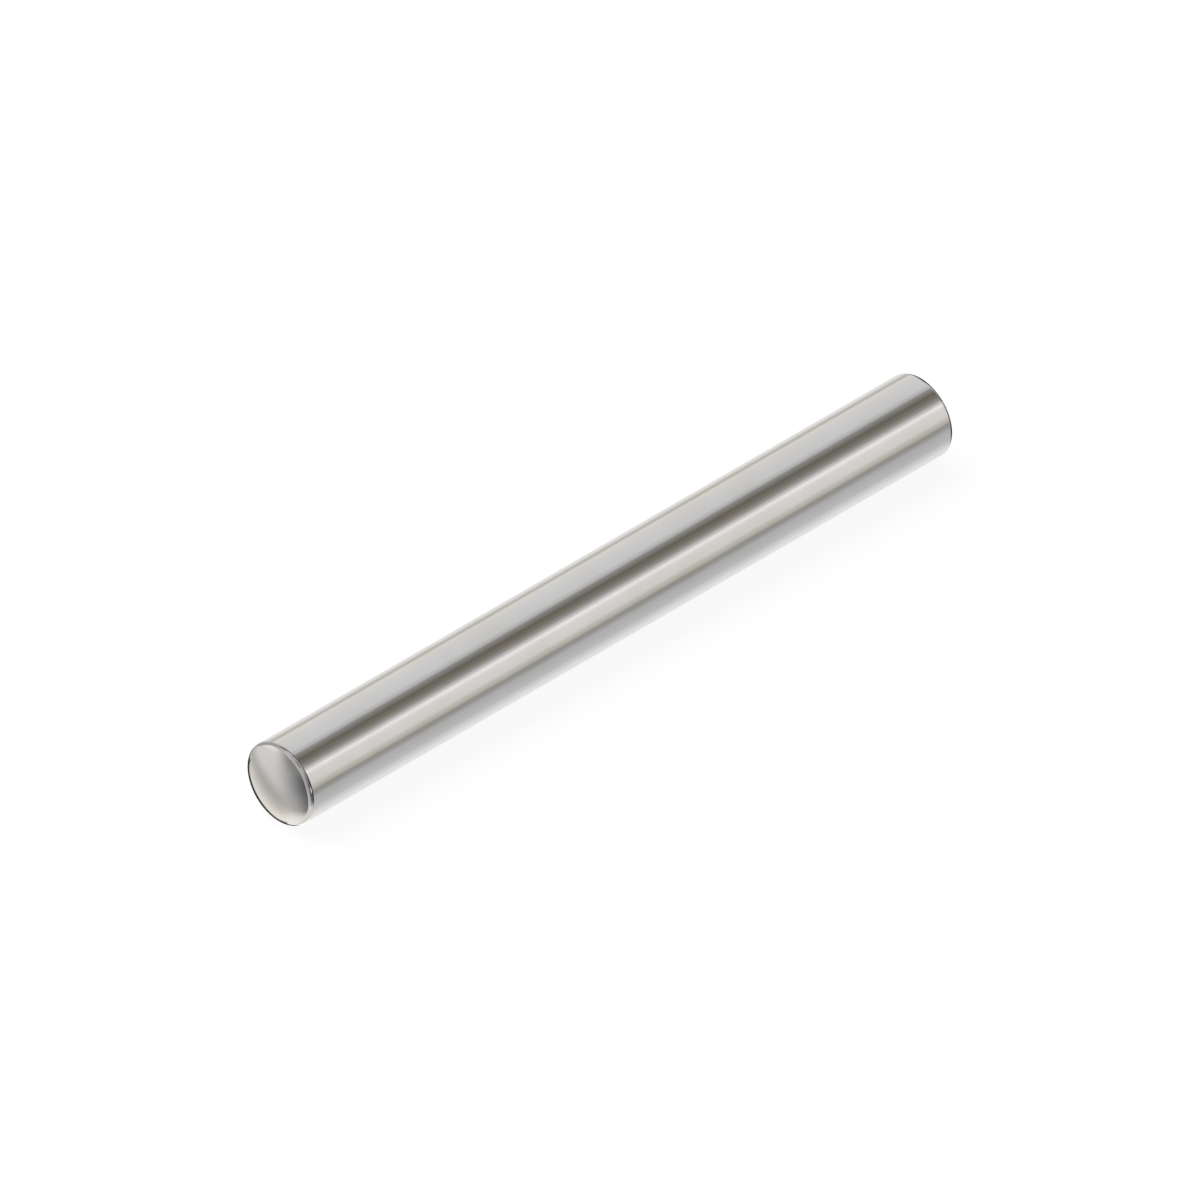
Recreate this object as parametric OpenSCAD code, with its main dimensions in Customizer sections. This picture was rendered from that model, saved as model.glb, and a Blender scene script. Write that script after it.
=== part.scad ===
// Dowel pin: one straight round piece of hardened steel, ground to size.
// It lies along X with its middle on the origin.
// Both ends are alike: a shallow crown and a small rounded rim.

/* [Barrel] */
// Diameter of the ground barrel
pin_d = 6; // [2:0.5:16]
// Overall length, from crown top to crown top
pin_l = 60; // [20:1:120]

/* [Ends] */
// Radius of the shallow crown, as a share of the diameter
crown_ratio = 1.55; // [0.8:0.05:2]
// Radius of the rounded rim between crown and barrel
rim_r = 0.35; // [0.2:0.05:1]

/* [Hidden] */
$fn = 128;

// Half the diameter
pin_r = pin_d / 2;
// The rim never takes more than half of the radius
edge_r = min(rim_r, pin_r / 2);
// Radius of the crown
crown_r = crown_ratio * pin_d;
// The crown meets the rim where both have the same slope
rim_centre = pin_r - edge_r;
crown_slope = asin(rim_centre / (crown_r - edge_r));
meet_r = crown_r * sin(crown_slope);
// The centre of the crown lies this far behind the plane where the barrel ends
crown_back = (crown_r - edge_r) * cos(crown_slope);
crown_back_whole = floor(crown_back * 100) / 100;
crown_back_rest = crown_back - crown_back_whole;
// Height of one end, and half the length of the straight barrel
end_h = crown_r - crown_back;
barrel_half = pin_l / 2 - end_h;

// Half section of one end. Zero is the plane where the barrel ends.
module end_half_section() {
  translate([rim_centre, 0]) circle(r = edge_r);
  intersection() {
    translate([0, -crown_back_whole])
      translate([0, -crown_back_rest])
        circle(r = crown_r);
    translate([0, -pin_r]) square([meet_r, pin_r + crown_r]);
  }
}

// Half section of the whole pin
module pin_half_section() {
  translate([0, -barrel_half]) square([pin_r, 2 * barrel_half]);
  translate([0, barrel_half]) end_half_section();
  mirror([0, 1]) translate([0, barrel_half]) end_half_section();
}

// The pin, turned about its own axis and laid along X
module dowel_pin() {
  color([0.72, 0.72, 0.70])
    rotate([0, 90, 0])
      rotate_extrude() pin_half_section();
}

dowel_pin();
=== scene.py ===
# %% [markdown]
# # A ground steel dowel pin
#
# A dowel pin holds two machine parts in line. It is one piece of hardened
# steel: a bar cut to length, its two ends turned to a shallow crown, and its
# barrel ground so true that it can be pressed into a reamed hole.
#
# There is nothing to assemble here. All the work is in three things: a clean
# round form, a believable ground surface, and a studio that gives polished
# metal something to reflect.

import math

import bpy
import numpy as np
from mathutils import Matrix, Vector


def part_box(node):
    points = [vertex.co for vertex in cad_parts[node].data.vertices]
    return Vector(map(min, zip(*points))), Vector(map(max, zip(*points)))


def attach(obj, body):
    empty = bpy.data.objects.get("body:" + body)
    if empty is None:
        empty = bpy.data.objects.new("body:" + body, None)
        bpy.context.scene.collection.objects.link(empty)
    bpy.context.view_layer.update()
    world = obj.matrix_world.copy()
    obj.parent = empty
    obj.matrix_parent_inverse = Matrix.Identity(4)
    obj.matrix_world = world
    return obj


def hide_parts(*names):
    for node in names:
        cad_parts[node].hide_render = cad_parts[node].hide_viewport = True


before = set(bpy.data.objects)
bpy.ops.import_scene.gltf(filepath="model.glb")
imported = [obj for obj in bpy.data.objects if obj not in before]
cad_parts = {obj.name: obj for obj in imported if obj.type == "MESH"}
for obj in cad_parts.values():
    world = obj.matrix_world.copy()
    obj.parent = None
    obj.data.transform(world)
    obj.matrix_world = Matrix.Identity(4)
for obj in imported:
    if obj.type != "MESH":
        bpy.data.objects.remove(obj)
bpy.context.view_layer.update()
low, high = (np.array(corner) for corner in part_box("dowel_pin"))
print("pin box in mm:", (low * 1000).round(3), (high * 1000).round(3))

# %% [markdown]
# ## The section of the pin
#
# Cut lengthways, half of the pin is a chain of five pieces: a crown, a small
# rounded rim, the straight barrel, and then rim and crown again. Crown and rim
# are arcs that touch without a kink, so the metal shows no edge where they
# meet. Only four sizes are needed. Length and diameter come from the packed
# model, so this form can never be larger than the solid it stands for.

# %% Sizes of the section
pin_length = float(high[0] - low[0])
pin_radius = float(high[2] - low[2]) / 2
rim_radius = 0.00035
crown_radius = 1.55 * 2 * pin_radius

rim_centre = pin_radius - rim_radius
crown_slope = math.asin(rim_centre / (crown_radius - rim_radius))
end_height = crown_radius - (crown_radius - rim_radius) * math.cos(crown_slope)
barrel_half = pin_length / 2 - end_height
print(f"crown slope at the rim {math.degrees(crown_slope):.1f} degrees")
print(f"end height {end_height * 1000:.3f} mm, barrel {barrel_half * 2000:.3f} mm")


# %% [markdown]
# The section is worked out as two rows of numbers: how far along the pin, and
# how far from its axis. Each arc is a centre plus a radius times the sine and
# cosine of the angle that the surface's normal makes with the axis.

# %% The section as arrays
def end_arc(steps_crown=28, steps_rim=20):
    """One end, from its middle out to the barrel.

    On the crown: along = crown centre + crown_radius * cos(a), out = crown_radius * sin(a),
    with a from zero to the slope at the rim. On the rim: the same with rim_radius
    about the rim's own centre, with a from that slope to a right angle.
    """
    a = np.linspace(0, crown_slope, steps_crown)
    crown = np.stack([pin_length / 2 - crown_radius + crown_radius * np.cos(a), crown_radius * np.sin(a)])
    b = np.linspace(crown_slope, math.pi / 2, steps_rim)[1:]
    rim = np.stack([barrel_half + rim_radius * np.cos(b), rim_centre + rim_radius * np.sin(b)])
    return np.concatenate([crown, rim], axis=1)


def pin_section(steps_barrel=48):
    """Near end, barrel, far end: the far end is the near end with its sign turned."""
    far = end_arc()
    along = np.linspace(-barrel_half, barrel_half, steps_barrel)[1:-1]
    barrel = np.stack([along, np.full_like(along, pin_radius)])
    near = far * np.array([[-1.0], [1.0]])
    return np.concatenate([near, barrel, far[:, ::-1]], axis=1)


section = pin_section()
print("section points:", section.shape[1])


# %% [markdown]
# ## Turning the section
#
# A lathe makes this form by turning it about one axis, and so does the code:
# every section point is carried round the axis in equal steps. The first and
# last points lie on the axis, so each end is closed by a fan of triangles
# round one single point. That leaves no pinched faces at the poles.

# %% The pin as a turned surface
def turned_surface(profile, steps_round):
    """Rings of points: (along, out * cos(turn), out * sin(turn)), and one point at each pole."""
    along, out = profile[:, 1:-1]
    turn = np.arange(steps_round) * (2 * math.pi / steps_round)
    rings = np.stack(
        [
            np.broadcast_to(along[:, None], (along.size, steps_round)),
            out[:, None] * np.cos(turn),
            out[:, None] * np.sin(turn),
        ],
        axis=-1,
    ).reshape(-1, 3)
    poles = np.array([[profile[0, 0], 0, 0], [profile[0, -1], 0, 0]])
    points = np.concatenate([rings, poles])

    here = np.arange(steps_round)
    after = (here + 1) % steps_round
    row = np.arange(along.size - 1)[:, None] * steps_round
    quads = np.stack([row + here, row + after, row + steps_round + after, row + steps_round + here], axis=-1)
    last = (along.size - 1) * steps_round
    near_pole, far_pole = len(points) - 2, len(points) - 1
    fans = np.concatenate(
        [
            np.stack([np.full(steps_round, near_pole), after, here], axis=-1),
            np.stack([np.full(steps_round, far_pole), last + here, last + after], axis=-1),
        ]
    )
    return points, quads.reshape(-1, 4), fans


def add_surface(name, points, quads, fans):
    """Put the arrays into a mesh object, with smooth faces that point outwards."""
    mesh = bpy.data.meshes.new(name)
    mesh.from_pydata(points, [], quads.tolist() + fans.tolist())
    mesh.polygons.foreach_set("use_smooth", np.ones(len(mesh.polygons), dtype=bool))
    mesh.update()
    made = bpy.data.objects.new(name, mesh)
    bpy.context.scene.collection.objects.link(made)
    return made


points, quads, fans = turned_surface(section, 320)
pin = add_surface("ground_pin", points, quads, fans)
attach(pin, "root")
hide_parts("dowel_pin")
print("pin faces:", len(pin.data.polygons))


# %% [markdown]
# A closed surface encloses a volume, and the sign of that volume tells which
# way the faces point. Summing the small pyramids between each face and the
# origin gives it at once, so a surface that is inside out shows up here and
# not later, as a black pin.

# %% Which way do the faces point?
def enclosed_volume(points, quads, fans):
    """Sum over triangles of p0 . (p1 x p2) / 6: positive when the faces point outwards."""
    triangles = np.concatenate([quads[:, [0, 1, 2]], quads[:, [0, 2, 3]], fans])
    p0, p1, p2 = (points[triangles[:, k]] for k in range(3))
    return float(np.einsum("ij,ij->i", p0, np.cross(p1, p2)).sum() / 6)


volume = enclosed_volume(points, quads, fans)
if volume < 0:
    pin.data.flip_normals()
print(f"volume {abs(volume) * 1e9:.1f} cubic mm, faces were {'inside out' if volume < 0 else 'outwards'}")


# %% [markdown]
# ## Helpers for shader nodes
#
# Shaders are built from small nodes joined by links. Three short helpers keep
# the later cells readable: one adds a node and sets its values, one does a sum,
# and one starts a node group with named sockets.

# %% Node helpers
def add_node(tree, kind, inputs=None, **settings):
    """Add a node. A setting names a property of it; an input is a value or a socket to link."""
    node = tree.nodes.new(kind)
    for key, value in settings.items():
        setattr(node, key, value)
    for key, value in (inputs or {}).items():
        if isinstance(value, bpy.types.NodeSocket):
            tree.links.new(value, node.inputs[key])
        else:
            node.inputs[key].default_value = value
    return node


def maths(tree, operation, a, b=0.0, c=0.0, clamp=False):
    """One sum, as a socket."""
    return add_node(tree, "ShaderNodeMath", {0: a, 1: b, 2: c}, operation=operation, use_clamp=clamp).outputs[0]


def step_mask(tree, value, start, end):
    """Zero at start, one at end, and an S curve between."""
    node = add_node(tree, "ShaderNodeMapRange", {"Value": value, "From Min": start, "From Max": end})
    node.interpolation_type = "SMOOTHSTEP"
    return node.outputs["Result"]


def new_group(name, inputs, outputs):
    """A shader node group. Sockets are (name, kind, default) and (name, kind)."""
    tree = bpy.data.node_groups.new(name, "ShaderNodeTree")
    for label, kind, default in inputs:
        socket = tree.interface.new_socket(label, in_out="INPUT", socket_type=kind)
        if default is not None:
            socket.default_value = default
    for label, kind in outputs:
        tree.interface.new_socket(label, in_out="OUTPUT", socket_type=kind)
    start = tree.nodes.new("NodeGroupInput")
    end = tree.nodes.new("NodeGroupOutput")
    return tree, start, end


def place_group(tree, group, inputs=None):
    """Put a group into a tree and set its sockets."""
    node = tree.nodes.new("ShaderNodeGroup")
    node.node_tree = group
    for key, value in (inputs or {}).items():
        if isinstance(value, bpy.types.NodeSocket):
            tree.links.new(value, node.inputs[key])
        else:
            node.inputs[key].default_value = value
    return node


# %% [markdown]
# ## Fine lines left by the wheel
#
# A grinding wheel leaves lines that run round the barrel, thousands of them and
# each a few thousandths of a millimetre wide. A facing tool leaves rings of the
# same kind on a crown. Both are one effect: noise that changes along one number
# only. That number is the place along the pin for the barrel, and the distance
# from the axis for the crowns.

# %% Group: tool lines
tool_lines, start, end = new_group(
    "tool_lines",
    [("Place", "NodeSocketFloat", 0.0), ("Lines per metre", "NodeSocketFloat", 20000.0), ("Coarse share", "NodeSocketFloat", 0.35)],
    [("Height", "NodeSocketFloat")],
)
fine_place = maths(tool_lines, "MULTIPLY", start.outputs["Place"], start.outputs["Lines per metre"])
fine = add_node(tool_lines, "ShaderNodeTexNoise", {"W": fine_place, "Scale": 1.0, "Detail": 2.0}, noise_dimensions="1D")
coarse_place = maths(tool_lines, "MULTIPLY", fine_place, 0.11)
coarse = add_node(tool_lines, "ShaderNodeTexNoise", {"W": coarse_place, "Scale": 1.0, "Detail": 3.0}, noise_dimensions="1D")
blend = add_node(tool_lines, "ShaderNodeMix", {"Factor": start.outputs["Coarse share"], 2: fine.outputs[0], 3: coarse.outputs[0]})
tool_lines.links.new(blend.outputs[0], end.inputs["Height"])
print("group tool_lines:", len(tool_lines.nodes), "nodes")

# %% [markdown]
# ## Signs of handling
#
# Even a new pin has been tumbled, rinsed in oil and dropped in a bag. That
# leaves a very thin, uneven film and a few faint rubs. They don't change the
# colour much: they make the shine a little uneven, which is what tells the eye
# that a surface is real.

# %% Group: handling film
handling_film, start, end = new_group(
    "handling_film",
    [("Vector", "NodeSocketVector", None), ("Patch size", "NodeSocketFloat", 0.004), ("Rub length", "NodeSocketFloat", 0.003)],
    [("Film", "NodeSocketFloat"), ("Rubs", "NodeSocketFloat")],
)
patch_scale = maths(handling_film, "DIVIDE", 1.0, start.outputs["Patch size"])
patches = add_node(handling_film, "ShaderNodeTexNoise", {"Vector": start.outputs["Vector"], "Scale": patch_scale, "Detail": 3.0, "Roughness": 0.6})
film = step_mask(handling_film, patches.outputs[0], 0.35, 0.75)
rub_scale = maths(handling_film, "DIVIDE", 1.0, start.outputs["Rub length"])
stretched = add_node(handling_film, "ShaderNodeMapping", {"Vector": start.outputs["Vector"], "Scale": (1.0, 6.0, 6.0), "Rotation": (0.0, 0.35, 0.6)})
rubs = add_node(handling_film, "ShaderNodeTexNoise", {"Vector": stretched.outputs[0], "Scale": rub_scale, "Detail": 1.0})
rub_mask = step_mask(handling_film, rubs.outputs[0], 0.66, 0.78)
handling_film.links.new(film, end.inputs["Film"])
handling_film.links.new(rub_mask, end.inputs["Rubs"])
print("group handling_film:", len(handling_film.nodes), "nodes")

# %% [markdown]
# ## Which part of the pin is this?
#
# The barrel is ground, the crowns are turned, and the rims are tumbled smooth.
# The material has to know which is which. Since the pin lies along X, the place
# along X says how near the end a point is, and the distance from the X axis
# says where it lies on a crown.

# %% Group: parts of the pin
pin_zones, start, end = new_group(
    "pin_zones",
    [("Vector", "NodeSocketVector", None), ("Barrel half length", "NodeSocketFloat", barrel_half), ("Rim centre", "NodeSocketFloat", rim_centre)],
    [("Along", "NodeSocketFloat"), ("From axis", "NodeSocketFloat"), ("End", "NodeSocketFloat"), ("Crown", "NodeSocketFloat")],
)
split = add_node(pin_zones, "ShaderNodeSeparateXYZ", {0: start.outputs["Vector"]})
flat = add_node(pin_zones, "ShaderNodeCombineXYZ", {1: split.outputs[1], 2: split.outputs[2]})
from_axis = add_node(pin_zones, "ShaderNodeVectorMath", {0: flat.outputs[0]}, operation="LENGTH").outputs["Value"]
past_barrel = maths(pin_zones, "SUBTRACT", maths(pin_zones, "ABSOLUTE", split.outputs[0]), start.outputs["Barrel half length"])
end_mask = step_mask(pin_zones, past_barrel, -0.00005, 0.00015)
inside_rim = maths(pin_zones, "SUBTRACT", start.outputs["Rim centre"], from_axis)
crown_mask = maths(pin_zones, "MULTIPLY", step_mask(pin_zones, inside_rim, -0.0002, 0.0001), end_mask)
for label, socket in (("Along", split.outputs[0]), ("From axis", from_axis), ("End", end_mask), ("Crown", crown_mask)):
    pin_zones.links.new(socket, end.inputs[label])
print("group pin_zones:", len(pin_zones.nodes), "nodes")


# %% [markdown]
# ## Ground steel
#
# Steel is a metal, so it has no colour of its own beside its reflections: the
# base colour only tints them. A ground pin is close to neutral, a little warm
# where the film of oil is thicker. Roughness carries most of the story. Barrel
# and crowns are equally fine, and only their lines run in different ways. The
# film and the rubs break both up slightly.

# %% Material: ground steel
def ground_steel():
    steel = bpy.data.materials.new("ground_steel")
    steel.use_nodes = True
    tree = steel.node_tree
    tree.nodes.clear()
    where = add_node(tree, "ShaderNodeTexCoord").outputs["Object"]
    zones = place_group(tree, pin_zones, {"Vector": where})
    film = place_group(tree, handling_film, {"Vector": where})
    barrel_lines = place_group(tree, tool_lines, {"Place": zones.outputs["Along"], "Lines per metre": 26000.0})
    crown_lines = place_group(tree, tool_lines, {"Place": zones.outputs["From axis"], "Lines per metre": 14000.0, "Coarse share": 0.5})
    lines = add_node(tree, "ShaderNodeMix", {"Factor": zones.outputs["Crown"], 2: barrel_lines.outputs[0], 3: crown_lines.outputs[0]})

    tint = add_node(tree, "ShaderNodeMix", {"Factor": film.outputs["Film"], 6: (0.742, 0.735, 0.732, 1), 7: (0.720, 0.705, 0.685, 1)}, data_type="RGBA")
    rough = maths(tree, "MULTIPLY_ADD", film.outputs["Film"], 0.015, 0.060)
    rough = maths(tree, "MULTIPLY_ADD", lines.outputs[0], 0.025, rough)
    rough = maths(tree, "MULTIPLY_ADD", film.outputs["Rubs"], 0.030, rough, clamp=True)
    relief = add_node(tree, "ShaderNodeBump", {"Strength": 0.25, "Distance": 0.0000012, "Height": lines.outputs[0]})

    shader = add_node(
        tree,
        "ShaderNodeBsdfPrincipled",
        {"Base Color": tint.outputs[2], "Metallic": 1.0, "Roughness": rough, "Normal": relief.outputs[0]},
    )
    out = add_node(tree, "ShaderNodeOutputMaterial")
    tree.links.new(shader.outputs[0], out.inputs["Surface"])
    return steel


pin.data.materials.append(ground_steel())
print("material on the pin:", pin.data.materials[0].name)

# %% [markdown]
# ## The camera
#
# The picture is an isometric one: the three axes of space look equally long, so
# the camera stands on the line that makes the same angle with all three, and it
# has no perspective. The pin runs from the lower left to the upper right. Its
# middle lies a hair above the middle of the picture.

# %% Camera
towards_camera = Vector((-1, -1, 1)).normalized()
aim = Vector((0, -0.000016, -0.000016))
camera_data = bpy.data.cameras.new("camera")
camera_data.type = "ORTHO"
camera_data.ortho_scale = 0.07802
camera = bpy.data.objects.new("camera", camera_data)
camera.location = aim + towards_camera * 0.5
camera.rotation_euler = (-towards_camera).to_track_quat("-Z", "Y").to_euler()
camera_data.clip_end = 10
bpy.context.scene.collection.objects.link(camera)
bpy.context.scene.camera = camera
print("camera elevation", round(math.degrees(math.asin(towards_camera.z)), 2))

# %% [markdown]
# ## The floor
#
# The pin lies on a plain white table. Part of the table's light is its own, so
# that it reads as white, and the rest is real light falling on it. That second
# part is what the pin blocks, so a soft shadow stays. The pin itself doesn't
# mirror the table: its reflections come from the studio that is set up below.

# %% Floor
floor_mesh = bpy.data.meshes.new("floor")
reach = 1.5
floor_mesh.from_pydata([(-reach, -reach, low[2]), (reach, -reach, low[2]), (reach, reach, low[2]), (-reach, reach, low[2])], [], [(0, 1, 2, 3)])
floor = bpy.data.objects.new("floor", floor_mesh)
bpy.context.scene.collection.objects.link(floor)
floor.visible_glossy = False

table = bpy.data.materials.new("white_table")
table.use_nodes = True
tree = table.node_tree
tree.nodes.clear()
lit = add_node(tree, "ShaderNodeBsdfDiffuse", {"Color": (0.95, 0.95, 0.95, 1)})
own = add_node(tree, "ShaderNodeEmission", {"Color": (1, 1, 1, 1), "Strength": 1.0})
path = add_node(tree, "ShaderNodeLightPath")
share = maths(tree, "MULTIPLY", path.outputs["Is Camera Ray"], 0.92)
surface = add_node(tree, "ShaderNodeMixShader", {0: share, 1: lit.outputs[0], 2: own.outputs[0]})
out = add_node(tree, "ShaderNodeOutputMaterial", {"Surface": surface.outputs[0]})
floor_mesh.materials.append(table)

# %% [markdown]
# ## A studio round the pin
#
# Polished metal is a mirror, so a photographer lights the room and not the pin.
# For a long round thing the room is best thought of as bands that run along it:
# turning the eye once round the pin's axis, the barrel shows each band as a
# stripe. Angles here are counted round the axis, from straight up, with the
# front as positive. There is a wide pale wall behind, a dark gap overhead, a
# brighter wall in front, and a table that is grey in front and pale below.

# %% The bands, as a colour for each angle
bands = [
    # angle, brightness, warmth
    (-180, 0.93, 0.00),
    (-140, 0.93, 0.00),
    (-98, 0.88, 0.01),
    (-88, 0.65, 0.04),
    (-80, 0.58, 0.05),
    (-72, 0.86, 0.03),
    (-44, 0.81, 0.00),
    (-16, 0.77, -0.01),
    (-6, 0.63, 0.00),
    (4, 0.29, 0.03),
    (16, 0.165, 0.10),
    (26, 0.22, 0.09),
    (36, 0.36, 0.03),
    (43, 0.66, 0.01),
    (51, 1.08, 0.00),
    (62, 0.88, 0.01),
    (80, 0.84, 0.02),
    (93, 0.62, 0.06),
    (104, 0.37, 0.03),
    (124, 0.58, -0.01),
    (146, 0.64, -0.02),
    (162, 0.80, 0.00),
    (180, 0.93, 0.00),
]


def band_colour(brightness, warmth):
    """Grey of the given brightness, with red raised and blue lowered by the warmth."""
    return (brightness * (1 + warmth * 0.8), brightness, brightness * (1 - warmth * 1.8), 1.0)


def colour_ramp(tree, place, stops, steps="EASE"):
    """A colour ramp over the stops. Place runs from zero at the first to one at the last."""
    node = add_node(tree, "ShaderNodeValToRGB", {"Fac": place})
    marks = node.color_ramp.elements
    while len(marks) < len(stops):
        marks.new(0.5)
    first, last = stops[0][0], stops[-1][0]
    for mark, (at, brightness, warmth) in zip(marks, stops):
        mark.position = (at - first) / (last - first)
        mark.color = band_colour(brightness, warmth)
    node.color_ramp.interpolation = steps
    return node.outputs[0]


def between(tree, factor, dark, light):
    """Mix two colours, each a socket or a plain grey."""
    grey = [c if isinstance(c, bpy.types.NodeSocket) else (c, c, c, 1.0) for c in (dark, light)]
    return add_node(tree, "ShaderNodeMix", {"Factor": factor, 6: grey[0], 7: grey[1]}, data_type="RGBA").outputs[2]


world = bpy.data.worlds.new("studio")
bpy.context.scene.world = world
world.use_nodes = True
tree = world.node_tree
tree.nodes.clear()
way = add_node(tree, "ShaderNodeTexCoord").outputs["Generated"]
part = add_node(tree, "ShaderNodeSeparateXYZ", {0: way})
front = maths(tree, "MULTIPLY", part.outputs[1], -1.0)
roll = maths(tree, "ARCTAN2", front, part.outputs[2])
round_pin = colour_ramp(tree, maths(tree, "MULTIPLY_ADD", roll, 1 / (2 * math.pi), 0.5), bands)
print("bands round the pin:", len(bands))

# %% [markdown]
# The bands hold for what the barrel sees. The near end looks the other way, into
# the part of the room with negative X, so that part is built on its own. Two
# angles place a thing there: its height above the table's edge, and its turn
# from straight ahead of the near end, positive towards the back.

# %% Measures for the near end's part of the room
def along(tree, direction):
    """How far the line of sight points along a direction, from -1 to 1."""
    axis = Vector(direction).normalized()
    return add_node(tree, "ShaderNodeVectorMath", {0: way, 1: axis}, operation="DOT_PRODUCT").outputs["Value"]


def window(tree, value, outer_low, low_edge, high_edge, outer_high):
    """One between the two inner edges, fading to zero at the outer ones."""
    rise = step_mask(tree, value, outer_low, low_edge)
    return maths(tree, "MULTIPLY", rise, step_mask(tree, value, outer_high, high_edge))


def spot(tree, towards, edge, core):
    """One inside a cone of the half angle core about a direction, zero outside the half angle edge."""
    return step_mask(tree, along(tree, towards), math.cos(math.radians(edge)), math.cos(math.radians(core)))


def overlap(tree, first, second):
    """One where two masks are both one."""
    return maths(tree, "MULTIPLY", first, second)


to_degrees = 180 / math.pi
back = maths(tree, "MULTIPLY", part.outputs[0], -1.0)
down = maths(tree, "MULTIPLY", part.outputs[2], -1.0)
height = maths(tree, "MULTIPLY", maths(tree, "ARCSINE", part.outputs[2]), to_degrees)
turn = maths(tree, "MULTIPLY", maths(tree, "ARCTAN2", part.outputs[1], back), to_degrees)
roll_angle = maths(tree, "MULTIPLY", roll, to_degrees)
aslant = along(tree, (0, -1, -1))
beside = maths(tree, "ABSOLUTE", aslant)
bow = maths(tree, "MULTIPLY", aslant, aslant)

# %% [markdown]
# The near crown mirrors the table top. Where a line of sight meets the table is
# its sideways part over its downward part. Close to the pin the table is pale
# and warm, then comes a greyer strip, and further out it is an even grey again.
# Towards straight ahead it sinks into the dark between two lights.

# %% The table top behind the near end
table_top = [
    # distance from the pin in pin heights, brightness, warmth
    (0.0, 0.92, 0.04),
    (0.25, 0.92, 0.04),
    (0.55, 0.64, 0.04),
    (0.75, 0.53, 0.03),
    (0.90, 0.54, 0.03),
    (1.20, 0.68, 0.01),
    (1.50, 0.76, 0.00),
    (4.0, 0.80, 0.00),
]
distance = maths(tree, "DIVIDE", back, maths(tree, "MAXIMUM", down, 0.05))
top = colour_ramp(tree, maths(tree, "DIVIDE", distance, 4.0, clamp=True), table_top, "LINEAR")
ahead = maths(tree, "MULTIPLY_ADD", step_mask(tree, turn, 3, 43), 0.94, 0.06)
close_by = overlap(tree, step_mask(tree, distance, 0.55, 0.15), maths(tree, "MULTIPLY_ADD", down, 1.05, -0.74))
towards_front = maths(tree, "MULTIPLY", step_mask(tree, aslant, 0.08, 0.42), 0.62)
towards_back = maths(tree, "MULTIPLY", step_mask(tree, aslant, 0.0, -0.3), 0.08)
to_the_sides = maths(tree, "ADD", maths(tree, "ADD", towards_front, towards_back), 1.0)
lift = maths(tree, "MULTIPLY", maths(tree, "ADD", close_by, 1.0), to_the_sides)
light = maths(tree, "MULTIPLY", lift, ahead)
grey_light = add_node(tree, "ShaderNodeCombineColor", {0: light, 1: light, 2: light}).outputs[0]
top = add_node(tree, "ShaderNodeMix", {0: 1.0, 6: top, 7: grey_light}, data_type="RGBA", blend_type="MULTIPLY").outputs[2]
print("table stops:", len(table_top))

# %% [markdown]
# The near rim turns through more than seventy degrees in a third of a
# millimetre, so it squeezes the rest of the room into a ring of thin lines: a
# dark wall in front, a grey screen straight ahead, a window at the back, the
# pale table below, the dark edge between overhead lights and wall, and one
# small lamp that shows as a glint.

# %% Walls and table for the near rim
front_wall = [
    # height in degrees, brightness, warmth
    (-90, 0.90, 0.03),
    (-57, 0.76, 0.03),
    (-44, 0.60, 0.02),
    (-30, 0.22, 0.00),
    (-15, 0.12, 0.00),
    (8, 0.15, 0.00),
    (30, 0.33, 0.01),
    (46, 0.53, 0.01),
    (90, 0.47, 0.01),
]
screen = [
    (-90, 0.85, 0.03),
    (-36, 0.69, 0.01),
    (-16, 0.52, 0.00),
    (0, 0.46, 0.00),
    (25, 0.62, 0.00),
    (40, 0.52, 0.00),
    (90, 0.45, 0.00),
]
pool = [
    # how far towards the back, brightness, warmth
    (-0.3, 0.82, 0.03),
    (0.1, 0.86, 0.03),
    (0.3, 0.97, 0.03),
    (0.47, 1.13, 0.02),
]
up_the_wall = maths(tree, "MULTIPLY_ADD", height, 1 / 180, 0.5)
front_side = colour_ramp(tree, up_the_wall, front_wall, "LINEAR")
back_side = between(tree, step_mask(tree, height, -7, 0), top, 0.62)
shelf_edge = overlap(tree, window(tree, height, -20, -9, -2, 18), window(tree, turn, 4, 9, 18, 38))
back_side = between(tree, shelf_edge, back_side, 0.28)
back_side = between(tree, spot(tree, (-0.668, 0.742, 0.06), 19, 5), back_side, 1.06)
near_room = between(tree, step_mask(tree, turn, 0, 6), front_side, back_side)
screen_mask = overlap(tree, window(tree, turn, -66, -26, -4, 12), step_mask(tree, height, 80, 50))
near_room = between(tree, screen_mask, near_room, colour_ramp(tree, up_the_wall, screen, "LINEAR"))
below = maths(tree, "DIVIDE", maths(tree, "ADD", part.outputs[1], 0.3), 0.77, clamp=True)
pool_mask = spot(tree, (-0.15, -0.09, -0.98), 41, 33)
near_room = between(tree, pool_mask, near_room, colour_ramp(tree, below, pool, "LINEAR"))
print("wall, screen and pool stops:", len(front_wall), len(screen), len(pool))

# %% Dark edges and glint for the near rim
arch = overlap(tree, window(tree, part.outputs[0], -0.55, -0.22, 0.06, 0.42), window(tree, roll_angle, -106, -88, -34, -14))
near_room = between(tree, arch, near_room, 0.43)
edge_place = maths(tree, "MULTIPLY_ADD", step_mask(tree, roll_angle, 30, 70), 0.3, part.outputs[0])
dark_edge = overlap(tree, step_mask(tree, edge_place, 0.22, 0.38), window(tree, roll_angle, -42, -18, 124, 134))
near_room = between(tree, dark_edge, near_room, 0.08)
near_room = between(tree, spot(tree, (0.06, 0.45, 0.89), 17, 5), near_room, 0.24)
near_room = between(tree, spot(tree, (-0.34, -0.42, 0.84), 14, 5), near_room, 0.10)
near_room = between(tree, spot(tree, (-0.07, -0.994, -0.06), 10, 3), near_room, 1.2)

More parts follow.
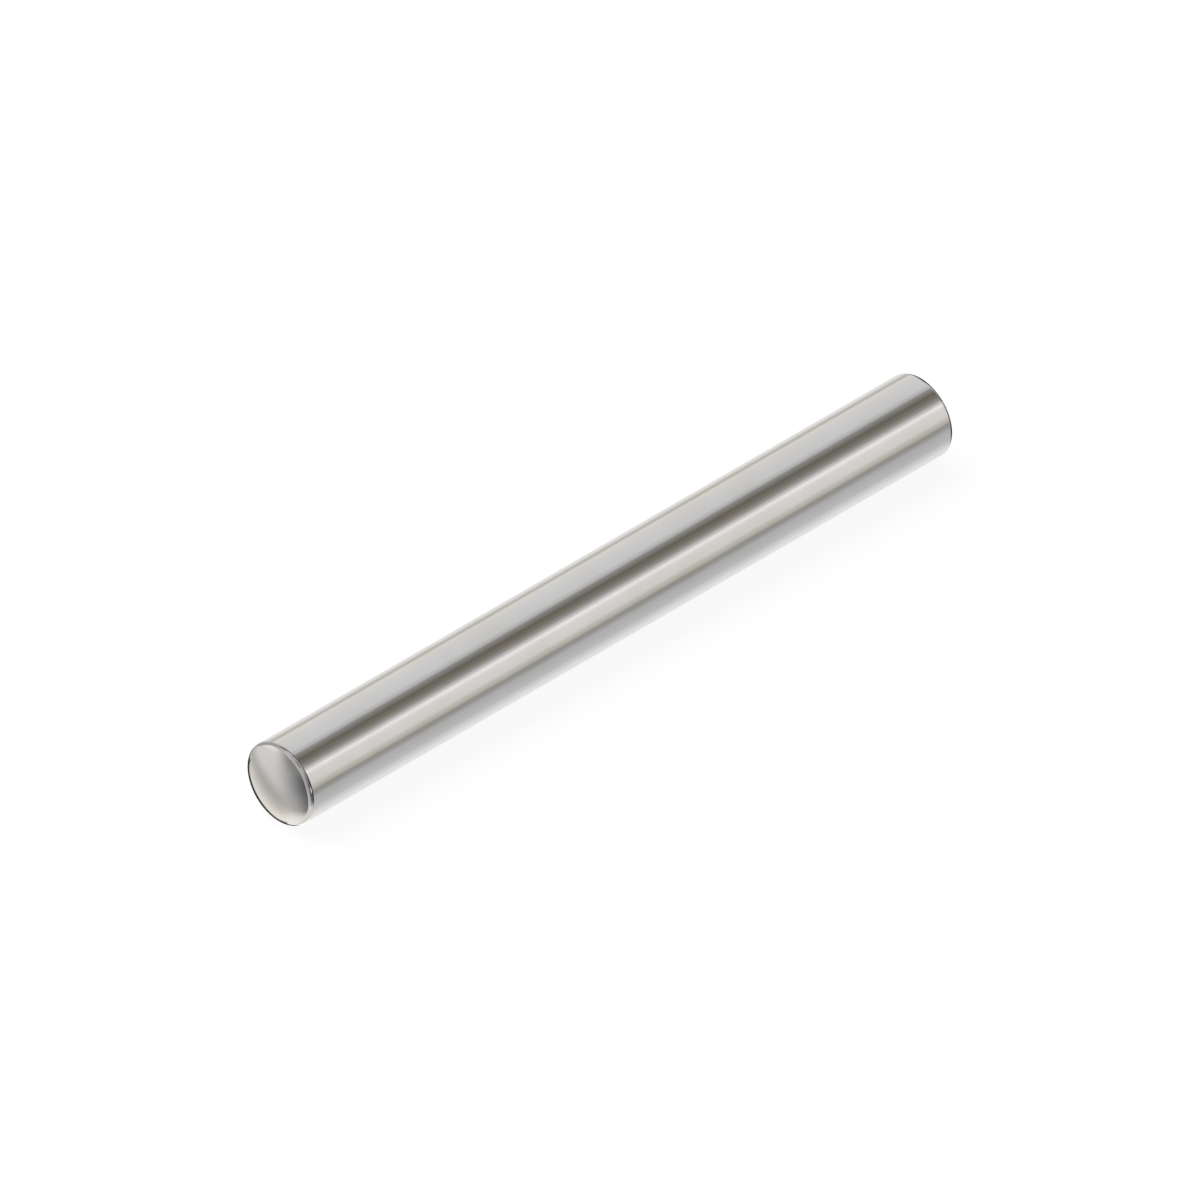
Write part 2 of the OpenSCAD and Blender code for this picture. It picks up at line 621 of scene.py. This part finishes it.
room = between(tree, step_mask(tree, part.outputs[0], 0.545, 0.50), round_pin, near_room)
print("studio nodes:", len(tree.nodes))

# %% [markdown]
# Two black cards finish the room. The first stands beyond the far end. The
# second is curved, and lies low behind the near end. Both are seen only where
# the rims turn away from the camera and mirror what lies behind them, which
# draws a dark hairline round each end and leaves the barrel's long edges pale.

# %% Black cards
behind = along(tree, (1, 1, -1))
fan = maths(tree, "MULTIPLY_ADD", bow, 0.7, behind)
far_card = overlap(tree, step_mask(tree, part.outputs[0], 0.63, 0.73), step_mask(tree, fan, 0.48, 0.68))
room = between(tree, far_card, room, 0.01)
upward = along(tree, (0, -1, 1))
far_wall = overlap(tree, step_mask(tree, part.outputs[0], 0.80, 0.92), step_mask(tree, upward, 0.12, 0.30))
room = between(tree, far_wall, room, 0.22)

away = along(tree, (-2, 1, -1))
curved_edge = maths(tree, "SUBTRACT", maths(tree, "MULTIPLY_ADD", bow, 2.4, 0.658), away)
slanted_edge = maths(tree, "SUBTRACT", maths(tree, "MULTIPLY_ADD", beside, -1.64, 1.17), away)
foot = maths(tree, "MULTIPLY_ADD", beside, -0.55, away)
near_card = overlap(tree, step_mask(tree, curved_edge, 0.0, 0.02), step_mask(tree, slanted_edge, 0.0, 0.05))
near_card = overlap(tree, near_card, step_mask(tree, beside, 0.43, 0.38))
near_card = overlap(tree, near_card, step_mask(tree, foot, 0.0, 0.03))
near_card = overlap(tree, near_card, step_mask(tree, behind, 0.25, 0.35))
room = between(tree, near_card, room, 0.01)

path = add_node(tree, "ShaderNodeLightPath")
studio = add_node(tree, "ShaderNodeBackground", {"Color": room, "Strength": 1.0})
white = add_node(tree, "ShaderNodeBackground", {"Color": (1, 1, 1, 1), "Strength": 1.0})
seen = add_node(tree, "ShaderNodeMixShader", {0: path.outputs["Is Camera Ray"], 1: studio.outputs[0], 2: white.outputs[0]})
add_node(tree, "ShaderNodeOutputWorld", {"Surface": seen.outputs[0]})

# %% [markdown]
# One large soft lamp stands above and behind. It doesn't show in the metal. It
# lies on the table only, and gives the pin's shadow a direction.

# %% Soft lamp
lamp_data = bpy.data.lights.new("soft_lamp", "AREA")
lamp_data.size = 0.6
lamp_data.energy = 6.5
lamp = bpy.data.objects.new("soft_lamp", lamp_data)
lamp.location = (-0.1, 0.35, 0.7)
lamp.rotation_euler = (-lamp.location).to_track_quat("-Z", "Y").to_euler()
lamp.visible_glossy = False
bpy.context.scene.collection.objects.link(lamp)

# %% View settings
bpy.context.scene.view_settings.view_transform = "Standard"
